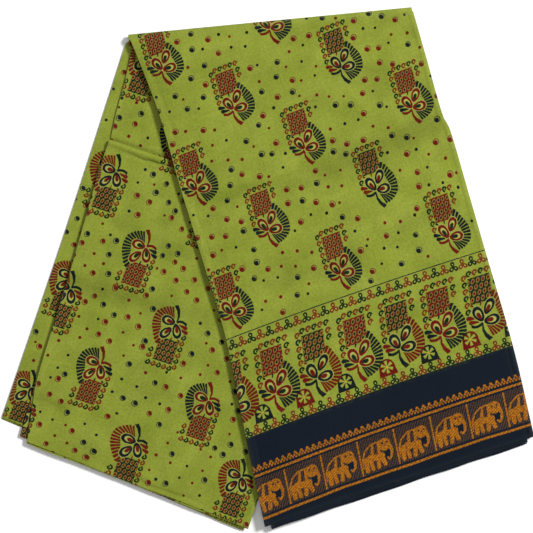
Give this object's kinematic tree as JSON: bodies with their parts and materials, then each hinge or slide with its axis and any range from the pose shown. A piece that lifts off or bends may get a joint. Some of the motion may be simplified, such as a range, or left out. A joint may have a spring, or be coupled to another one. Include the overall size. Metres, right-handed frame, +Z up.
{
  "type": "folded cotton saree",
  "caption": "Cotton saree folded flat into a long strip and folded once across, with a printed field and a dark woven border along the hem.",
  "frame": {"origin": "on the surface that the saree lies on, under the middle of its outline", "axes": "+Z up from the surface, +Y towards the cross fold, +X towards the front leg's side"},
  "size_m": [0.6394, 0.6274, 0.0183],
  "materials": {
    "printed_cotton": "matte plain-weave cotton, printed",
    "woven_border": "matte plain-weave cotton with a woven figured band"
  },
  "bodies": {
    "root": {"front_panel": "printed_cotton", "front_border": "woven_border", "front_under_panel": "printed_cotton", "front_under_border": "woven_border", "front_core": "printed_cotton", "back_flap": "printed_cotton", "back_middle": "printed_cotton", "back_lower": "printed_cotton"}
  },
  "joints": []
}
